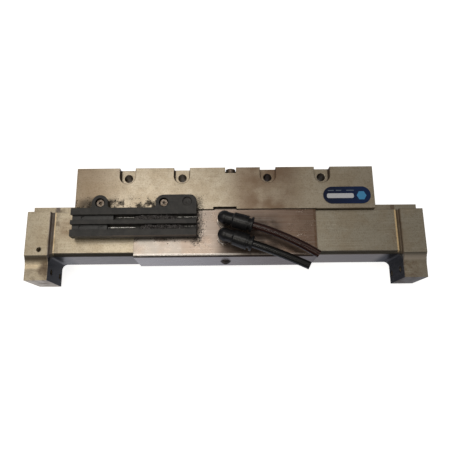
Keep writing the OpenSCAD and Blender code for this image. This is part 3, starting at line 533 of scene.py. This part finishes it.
def turned_metal(name, colour, roughness, dirt_and_shade_amount=0.6, tarnish=0.35, lit_side=None):
    """Small turned or ground parts: fine tool marks, dirt and painted shade in the hollows, bright
    edges.
    """
    g = Graph(name)
    marks = g.cloud(1.0, 2, 0.5, g.stretch(9.0, 2.0, 9.0))
    stain = g.ease(g.cloud(0.9, 4, 0.6), 0.40, 0.66)
    # dirt in patches and painted shade in the hollows
    dirt_and_shade = g.ease(g.plus(g.hollow(1.2), g.times(g.cloud(2.5, 3), 0.3)), 0.50, 0.90)
    dirt_and_shade = g.times(dirt_and_shade, dirt_and_shade_amount)
    base = g.over(
        g.mix(g.ease(marks, 0.35, 0.65, 0.0, 0.35), colour, scaled(colour, 0.62)),
        (g.times(stain, tarnish), TURNED["tarnish"]),
        (g.times(g.edge(0.12), 0.5), scaled(colour, 1.25)),
        (dirt_and_shade, TURNED["dirt_and_shade"]),
    )
    rough = g.blend(stain, roughness, min(1.0, roughness + 0.2))
    metallic = g.minus(1.0, g.times(dirt_and_shade, 0.8))
    # a painted highlight on the faces that point towards lit_side
    if lit_side:
        lit = g.ease(g.along(lit_side), 0.80, 0.95)
        base = g.mix(lit, base, TURNED["lit"])
        metallic = g.times(metallic, g.blend(lit, 1.0, 0.1))
    g.bump(marks, 0.012, corner=0.08)
    return g.done(base, g.blend(dirt_and_shade, rough, 0.8), metallic)


def black_anodised(name):
    """Matte black bracket: a dusty film, rubbed edges, painted light and shade, bare glint lines
    in the grooves.
    """
    g = Graph(name)
    dust = g.ease(g.cloud(2.2, 5, 0.75), 0.52, 0.74)
    pull = g.cloud(1.0, 3, 0.6, g.stretch(0.05, 4.0, 4.0))
    rubbed = g.times(g.edge(0.22, 0.03, 0.16), g.ease(g.cloud(0.35, 4, 0.65), 0.50, 0.66), 0.45)
    # painted light on the part of the lower side wall that catches it
    side = g.times(g.ease(g.y, bracket_low.y + 0.3, bracket_low.y + 0.05),
                   g.ease(g.x, *BRACKET_SIDE_X),
                   g.ease(g.z, bracket_high.z - 4.0, bracket_high.z - 1.0))
    # bare lines where the sensors rubbed, painted bright as the glints on the groove floors
    bare_glint = None
    for x0, x1, y in GROOVE_GLINTS:
        line = g.times(g.band(g.x, x0, x1, 1.0), g.band(g.y, y - 0.16, y + 0.16, 0.08))
        bare_glint = line if bare_glint is None else g.larger(bare_glint, line)
    grains = g.ease(g.cloud(2.4, 4, 0.7, g.stretch(0.5, 1, 1, 13.0)), 0.42, 0.54)
    bare_glint = g.times(bare_glint, grains, g.ease(g.z, bracket_high.z - 2.6, bracket_high.z - 3.0))
    colour = g.over(
        g.mix(g.ease(g.cloud(0.22, 4, 0.6), 0.38, 0.66), ANODISED["low"], ANODISED["high"]),
        (g.times(dust, 0.30), ANODISED["dust"]),
        (g.ease(pull, 0.45, 0.72, 0.0, 0.25), ANODISED["pull"]),
        (rubbed, ANODISED["rubbed"]),
        (g.times(side, 0.60), ANODISED["side"]),
        # painted shade in the grooves and corners
        (g.times(g.ease(g.hollow(2.2), 0.30, 0.75), 0.7), NEAR_BLACK),
        (bare_glint, ANODISED["bare_glint"]),
    )
    rough = g.blend(g.larger(rubbed, bare_glint), g.blend(g.cloud(0.6, 3), 0.42, 0.62), 0.35)
    metallic = g.larger(g.times(rubbed, 0.8), bare_glint)
    g.bump(g.plus(g.times(pull, 0.3), g.times(dust, 0.6)), 0.03, corner=0.2)
    return g.done(colour, rough, metallic, Specular_IOR_Level=0.40)


def moulded_plastic(name, colour, roughness, grain, dusty, shine):
    """Moulded black plastic with a fine grain, thin dust and paler edges."""
    g = Graph(name)
    dust = g.times(g.ease(g.cloud(3.0, 5, 0.7), 0.52, 0.76), dusty)
    base = g.over(
        g.mix(g.ease(g.cloud(0.7, 4, 0.6), 0.35, 0.70), colour, scaled(colour, 1.7, 0.002)),
        (dust, PLASTIC_DUST),
        (g.times(g.edge(0.15, 0.03, 0.2), 0.25), scaled(colour, 3, 0.02)),
    )
    rough = g.blend(g.cloud(0.9, 3), roughness - 0.08, roughness + 0.12)
    g.bump(g.cloud(grain, 2, 0.6), 0.008, corner=0.15)
    return g.done(base, rough, Specular_IOR_Level=shine)


def soft_rubber(name):
    """Dull black rubber with a greyish bloom."""
    g = Graph(name)
    bloom = g.ease(g.cloud(1.4, 5, 0.7), 0.45, 0.72)
    g.bump(g.cloud(5.0, 3), 0.015, corner=0.1)
    return g.done(g.mix(g.times(bloom, 0.5), RUBBER, RUBBER_BLOOM), g.blend(bloom, 0.55, 0.8))


def tube_plastic(name, colour, deep, see_through, sheen):
    """Glossy flexible tube, slightly cloudy, with scuffs and two painted lines of sheen."""
    g = Graph(name)
    facing = g.node("ShaderNodeLayerWeight", Blend=0.35).outputs["Facing"]
    cloudy = g.cloud(0.5, 4, 0.6)
    scuff = g.ease(g.cloud(1.0, 3, 0.7, g.stretch(0.6, 3.0, 3.0)), 0.62, 0.75)
    base = g.over(
        g.mix(g.ease(facing, 0.1, 0.9), colour, deep),
        (g.ease(cloudy, 0.5, 0.75, 0.0, 0.4), deep),
        (g.times(scuff, 0.07), TUBE_SCUFF),
    )
    # two painted highlight lines along the tube, broken in places
    across = g.along((0.42, 0.91, 0.0))
    for low, high, strength in ((0.10, 0.20, 0.8), (-0.52, -0.44, 0.55)):
        broken = g.ease(g.cloud(0.12, 2, 0.5), 0.30, 0.50, 0.4)
        base = g.mix(g.times(g.band(across, low, high, 0.10), broken, strength), base, sheen)
    g.bump(cloudy, 0.02, corner=0.1)
    return g.done(base, g.blend(scuff, 0.16, 0.40), Transmission_Weight=see_through,
                  Coat_Weight=0.15, Coat_Roughness=0.10, IOR=1.45, Specular_IOR_Level=0.35)


def label_film(name):
    """Dark blue printed film, flecked and rubbed at its edge."""
    g = Graph(name)
    fleck = g.ease(g.cloud(3.2, 4, 0.7), 0.60, 0.74)
    colour = g.over(
        g.mix(g.ease(g.x, *LABEL_X), FILM["left"], FILM["right"]),
        (g.times(fleck, 0.18), FILM["fleck"]),
        (g.times(g.edge(0.2, 0.02, 0.2), 0.35), FILM["rubbed"]),
    )
    g.bump(g.cloud(0.8, 3), 0.01, corner=0.1)
    return g.done(colour, g.blend(fleck, 0.34, 0.5), Specular_IOR_Level=0.2)


def print_ink(name, colour):
    """Printed marks, worn thin in places."""
    g = Graph(name)
    worn = g.ease(g.cloud(1.6, 5, 0.75), 0.50, 0.72)
    g.bump(g.cloud(4.0, 2), 0.004, corner=0.02)
    return g.done(g.mix(g.times(worn, 0.35), colour, scaled(colour, 0.45)),
                  g.blend(worn, 0.32, 0.55))


def packed_grime(name):
    """Caked black and brown dust with paler grains."""
    g = Graph(name)
    grain = g.ease(g.cloud(1.9, 6, 0.8), 0.40, 0.60)
    rust = g.ease(g.cloud(1.1, 4, 0.7, g.shifted(3.0)), 0.50, 0.68)
    chip = g.ease(g.cloud(2.2, 3, 0.6, g.shifted(11.0)), 0.54, 0.62)
    colour = g.over(
        g.mix(grain, GRIME["low"], GRIME["high"]),
        (g.times(rust, 0.25), GRIME["rust"]),
        (g.times(chip, 0.75), GRIME["chip"]),
    )
    g.bump(g.plus(grain, chip), 0.12, corner=0.02)
    return g.done(colour, 0.9)


LOOKS = {
    "housing_metal": coated_metal("housing_metal", (0.46, 0.40, 0.31), (0.38, 0.335, 0.26),
                                  seed=0.0, finish=sooty_housing),
    "jaw_metal": coated_metal("jaw_metal", (0.43, 0.375, 0.28), (0.34, 0.31, 0.245),
                              seed=31.0, finish=stained_and_shaded_ends),
    "cover_steel": sheet_steel("cover_steel"),
    "steel": turned_metal("steel", (0.56, 0.54, 0.50), 0.30),
    "dark_steel": turned_metal("dark_steel", (0.075, 0.070, 0.066), 0.42, dirt_and_shade_amount=0.85),
    # painted highlight on the hex faces that point to the front left
    "nickel_brass": turned_metal("nickel_brass", (0.72, 0.66, 0.60), 0.16, dirt_and_shade_amount=0.25,
                                 lit_side=(-0.66, -0.75, 0.0)),
    "bronze": turned_metal("bronze", (0.58, 0.38, 0.18), 0.34, dirt_and_shade_amount=0.4),
    "bracket_black": black_anodised("bracket_black"),
    "sensor_plastic": moulded_plastic("sensor_plastic", (0.016, 0.016, 0.0165), 0.36,
                                      grain=5.0, dusty=0.22, shine=0.4),
    "fitting_plastic": moulded_plastic("fitting_plastic", (0.0075, 0.0075, 0.0085), 0.28,
                                       grain=7.0, dusty=0.12, shine=0.32),
    "seal_rubber": soft_rubber("seal_rubber"),
    "tube_red": tube_plastic("tube_red", (0.030, 0.009, 0.006), (0.010, 0.004, 0.003),
                             see_through=0.10, sheen=(0.17, 0.105, 0.090)),
    "tube_black": tube_plastic("tube_black", (0.007, 0.0068, 0.0068), (0.003, 0.003, 0.003),
                               see_through=0.0, sheen=(0.030, 0.029, 0.029)),
    "label_film": label_film("label_film"),
}
dull_steel = turned_metal("dull_steel", (0.20, 0.17, 0.145), 0.38, dirt_and_shade_amount=0.95, tarnish=0.7)
DULLED = ("bracket_screws", "port_plug")
for entry in frame["record"]["subparts"]:
    look = dull_steel if entry["node"] in DULLED else LOOKS[entry["material_slot"]]
    for material_slot in frame["nodes"][entry["node"]].material_slots:
        material_slot.material = look


# ---------------------------------------------------------------- pieces of grime

STRIP_HALF_WIDTH = 1.36
STRIP_SUNK, STRIP_RAISED = 0.05, 0.45      # below the sensors, above the bracket's top
PLUG_X_FROM_END, PLUG_Y, PLUG_R = 4.8, 15.0, 2.4
PLUG_BOTTOM, PLUG_TOP = 3.0, 0.7           # both below the bracket's top
PLUG_DIP = 0.35                            # how much lower the middle is than the rim
LUMP_DIMENSION, LUMP_LACUNARITY = 0.7, 2.2


def add_piece(name, bm, material, smooth=True):
    """Turn a mesh into a piece that rides on the housing."""
    bmesh.ops.recalc_face_normals(bm, faces=bm.faces)
    mesh = bpy.data.meshes.new(name)
    bm.to_mesh(mesh)
    bm.free()
    for face in mesh.polygons:
        face.use_smooth = smooth
    mesh.materials.append(material)
    piece = bpy.data.objects.new(name, mesh)
    bpy.context.scene.collection.objects.link(piece)
    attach(piece, HOUSING)


def lump_at(x, y, seed, octaves):
    """Smooth random height at a place, about -1 to 1."""
    return noise.fractal(Vector((x, y, seed)), LUMP_DIMENSION, LUMP_LACUNARITY, octaves)


def regular(x, y, radius, sides):
    """The corners of a regular polygon, as (x, y) points."""
    turns = [2 * math.pi * i / sides for i in range(sides)]
    return [(x + radius * math.cos(turn), y + radius * math.sin(turn)) for turn in turns]


def grime_strip(name, x0, x1, y, floor_z, top_z, seed):
    """A lumpy bank of packed dirt along a groove."""
    steps_x, steps_y = 90, 12
    bm = bmesh.new()
    top, low = [], []
    for i in range(steps_x + 1):
        along = i / steps_x
        x = x0 + (x1 - x0) * along
        fade = min(1.0, 5.0 * along, 5.0 * (1 - along)) ** 0.6
        top_row, low_row = [], []
        for j in range(steps_y + 1):
            across = 2 * (j / steps_y) - 1
            py = y + STRIP_HALF_WIDTH * across
            lump = max(0.05, min(1.0, 0.72 + 0.45 * lump_at(x * 0.55, py * 1.1, seed, 5)))
            arch = 1 - 0.35 * across ** 2
            z = floor_z + (top_z - floor_z) * fade * arch * lump
            top_row.append(bm.verts.new(Vector((x, py, z)) * MM))
            low_row.append(bm.verts.new(Vector((x, py, floor_z)) * MM))
        top.append(top_row)
        low.append(low_row)
    for i in range(steps_x):
        for j in range(steps_y):
            bm.faces.new((top[i][j], top[i + 1][j], top[i + 1][j + 1], top[i][j + 1]))
            bm.faces.new((low[i][j], low[i][j + 1], low[i + 1][j + 1], low[i + 1][j]))
        for j in (0, steps_y):
            bm.faces.new((top[i][j], low[i][j], low[i + 1][j], top[i + 1][j]))
    for i in (0, steps_x):
        for j in range(steps_y):
            bm.faces.new((top[i][j], top[i][j + 1], low[i][j + 1], low[i][j]))
    add_piece(name, bm, packed_dirt)


def grime_plug(name, x, y, radius, low_z, high_z, seed):
    """Dirt that fills a round hole, sunk towards the middle."""
    rings, sides = 6, 28
    bm = bmesh.new()
    low = [bm.verts.new(Vector((px, py, low_z)) * MM) for px, py in regular(x, y, radius, sides)]
    rows = [low]
    for ring in range(rings):
        share = 1 - ring / rings
        row = []
        for px, py in regular(x, y, radius * share, sides):
            lump = lump_at(px * 0.9, py * 0.9, seed, 4)
            z = high_z - PLUG_DIP * (1 - share) + 0.12 * lump
            row.append(bm.verts.new(Vector((px, py, z)) * MM))
        rows.append(row)
    middle = bm.verts.new(Vector((x, y, high_z - PLUG_DIP)) * MM)
    for a, b in zip(rows, rows[1:]):
        for i in range(sides):
            bm.faces.new((a[i], a[(i + 1) % sides], b[(i + 1) % sides], b[i]))
    for i in range(sides):
        bm.faces.new((rows[-1][i], rows[-1][(i + 1) % sides], middle))
    bm.faces.new(low)
    add_piece(name, bm, LOOKS["bracket_black"])


packed_dirt = packed_grime("grime")
groove_floor = box_mm("upper_sensor")[0].z - STRIP_SUNK
for name, sensor, x0, x1, seed in (("grime_upper_groove", "upper_sensor", -47.0, -25.3, 3),
                                   ("grime_lower_groove", "lower_sensor", -44.0, -21.0, 8)):
    sensor_low, sensor_high = box_mm(sensor)
    grime_strip(name, x0, x1, (sensor_low.y + sensor_high.y) / 2, groove_floor,
                bracket_high.z + STRIP_RAISED, seed)
grime_plug("grime_spare_hole", bracket_high.x - PLUG_X_FROM_END, PLUG_Y, PLUG_R,
           bracket_high.z - PLUG_BOTTOM, bracket_high.z - PLUG_TOP, seed=5)


# ------------------------------------------------------------------- label print

label_low, label_high = box_mm("label_plate")
PRINT_SUNK, PRINT_RAISED = 0.02, 0.03
LINES_X, LINES_Y, LINE_CORNER = ((54.4, 57.6), (58.6, 61.6), (64.2, 68.2)), (21.6, 22.1), 0.2
BAND_X, BAND_Y, BAND_CORNER = (53.8, 68.0), (17.6, 20.2), 0.9
HEXAGON_R, HEXAGON_FROM_END, HEXAGON_DROP = 2.6, 4.9, 0.3


def rectangle(xs, ys, corner):
    """The outline of a rectangle with rounded corners, as (x, y) points."""
    points = []
    for cx, cy, turn in ((xs[1] - corner, ys[1] - corner, 0), (xs[0] + corner, ys[1] - corner, 90),
                         (xs[0] + corner, ys[0] + corner, 180),
                         (xs[1] - corner, ys[0] + corner, 270)):
        for step in range(5):
            angle = math.radians(turn + 22.5 * step)
            points.append((cx + corner * math.cos(angle), cy + corner * math.sin(angle)))
    return points


def print_mark(name, outline, ink):
    """A thin plate of ink that stands just proud of the label."""
    bm = bmesh.new()
    low, high = ([bm.verts.new(Vector((x, y, z)) * MM) for x, y in outline]
                 for z in (label_high.z - PRINT_SUNK, label_high.z + PRINT_RAISED))
    bm.faces.new(low)
    bm.faces.new(high)
    for i in range(len(outline)):
        j = (i + 1) % len(outline)
        bm.faces.new((low[i], low[j], high[j], high[i]))
    add_piece(name, bm, ink, smooth=False)


grey_ink = print_ink("ink_grey", (0.10, 0.13, 0.18))
for index, line_x in enumerate(LINES_X):
    print_mark("label_line_%d" % index, rectangle(line_x, LINES_Y, LINE_CORNER), grey_ink)
print_mark("label_band", rectangle(BAND_X, BAND_Y, BAND_CORNER),
           print_ink("ink_pale", (0.60, 0.62, 0.66)))
hexagon_y = (label_low.y + label_high.y) / 2 - HEXAGON_DROP
print_mark("label_hexagon", regular(label_high.x - HEXAGON_FROM_END, hexagon_y, HEXAGON_R, 6),
           print_ink("ink_blue", (0.05, 0.28, 0.55)))


# ------------------------------------------------------------------------- floor

FLOOR_HALF, FLOOR_GAP = 3, 0.0002          # in metres
FLOOR_GLOW = 0.80
# the glow that the metal mirrors is painted light: pale on the left, dim and bluish on the right
MIRRORED_X = (-110.0, 90.0)                # in millimetres
MIRRORED_LEFT, MIRRORED_RIGHT = (0.78, 0.78, 0.84), (0.27, 0.28, 0.33)


def floor_material():
    """A pale glowing floor for the camera, and a dimmer glow of painted light for what the metal
    mirrors.
    """
    g = Graph("floor_look")
    pale = g.mix(g.ease(g.cloud(0.004, 3), 0.3, 0.7), (0.80, 0.80, 0.80), (0.84, 0.84, 0.84))
    g.done(pale, 0.9)
    glow = g.node("ShaderNodeEmission", Color=(1.0, 1.0, 1.0), Strength=FLOOR_GLOW)
    mirrored = g.node("ShaderNodeEmission", Strength=1.0,
                      Color=g.mix(g.ease(g.x, *MIRRORED_X), MIRRORED_LEFT, MIRRORED_RIGHT))
    shown = g.node("ShaderNodeAddShader")
    g.put(shown.inputs[0], g.shader.outputs[0])
    g.put(shown.inputs[1], glow.outputs[0])
    from_camera = g.node("ShaderNodeLightPath").outputs["Is Camera Ray"]
    choice = g.node("ShaderNodeMixShader", Fac=from_camera)
    g.put(choice.inputs[1], mirrored.outputs[0])
    g.put(choice.inputs[2], shown.outputs[0])
    g.put(g.output.inputs["Surface"], choice.outputs[0])
    return g.material


floor_mesh = bpy.data.meshes.new("floor")
floor_corners = [(x * FLOOR_HALF, y * FLOOR_HALF, 0)
                 for x, y in ((-1, -1), (1, -1), (1, 1), (-1, 1))]
floor_mesh.from_pydata(floor_corners, [], [(0, 1, 2, 3)])
floor_mesh.materials.append(floor_material())
floor = bpy.data.objects.new("floor", floor_mesh)
floor.location.z = cad_box[0][2] - FLOOR_GAP
bpy.context.scene.collection.objects.link(floor)


# --------------------------------------------------------- sky, lights and camera

# the sky brightens with height, from the first value of each pair to the second
SKY_HEIGHT, SKY_STRENGTH = (0.20, 0.90), (0.03, 0.36)
SKY_COLOUR = (1.0, 0.95, 0.90, 1)

world = bpy.data.worlds.new("studio")
bpy.context.scene.world = world
world.use_nodes = True
sky = world.node_tree
background = sky.nodes["Background"]
direction = sky.nodes.new("ShaderNodeTexCoord").outputs["Generated"]
height = sky.nodes.new("ShaderNodeSeparateXYZ")
sky.links.new(direction, height.inputs[0])
rise = sky.nodes.new("ShaderNodeMapRange")
rise.interpolation_type = "SMOOTHSTEP"
for socket, value in zip(rise.inputs[1:5], SKY_HEIGHT + SKY_STRENGTH):
    socket.default_value = value
sky.links.new(height.outputs["Z"], rise.inputs[0])
background.inputs["Color"].default_value = SKY_COLOUR
sky.links.new(rise.outputs[0], background.inputs["Strength"])

# name, place and size in metres, power in watts, colour; each light faces the part
LIGHTS = (
    ("key", (-0.14, 0.17, 0.96), (0.30, 0.46), 1.75, (1.0, 0.96, 0.90)),
    ("left_fill", (-0.75, 0.05, 0.65), (0.35, 0.8), 0.22, (1.0, 0.97, 0.93)),
    ("glint_strip", (-0.30, -0.26, 0.92), (0.40, 0.09), 1.0, (1.0, 0.93, 0.80)),
)
for name, place, size, power, colour in LIGHTS:
    lamp = bpy.data.lights.new(name, "AREA")
    lamp.shape = "RECTANGLE"
    lamp.size, lamp.size_y = size
    lamp.energy = power
    lamp.color = colour
    holder = bpy.data.objects.new(name, lamp)
    holder.location = place
    holder.rotation_euler = (-Vector(place)).to_track_quat("-Z", "Y").to_euler()
    bpy.context.scene.collection.objects.link(holder)

# the camera looks down on the part, tilted towards the finger side; lengths in metres,
# the lens and its sensor in millimetres
CAMERA_TILT, CAMERA_ROLL = math.radians(14.76), math.radians(-0.53)
CAMERA_TARGET = Vector((0.0, 0.0026, 0.028))
CAMERA_DISTANCE = 0.2588
SENSOR_WIDTH, LENS = 36.0, 39.610354
LENS_SHIFT = (0.0014159292, 0.0015707965)

camera_data = bpy.data.cameras.new("camera")
camera_data.sensor_width = SENSOR_WIDTH
camera_data.lens = LENS
camera_data.shift_x, camera_data.shift_y = LENS_SHIFT
camera_data.clip_start = 0.01
camera = bpy.data.objects.new("camera", camera_data)
away = Vector((0, -math.sin(CAMERA_TILT), math.cos(CAMERA_TILT)))
camera.location = CAMERA_TARGET + CAMERA_DISTANCE * away
turn = Matrix.Rotation(CAMERA_TILT, 3, "X") @ Matrix.Rotation(CAMERA_ROLL, 3, "Z")
camera.rotation_euler = turn.to_euler()
bpy.context.scene.collection.objects.link(camera)
bpy.context.scene.camera = camera
bpy.context.scene.view_settings.view_transform = "Standard"
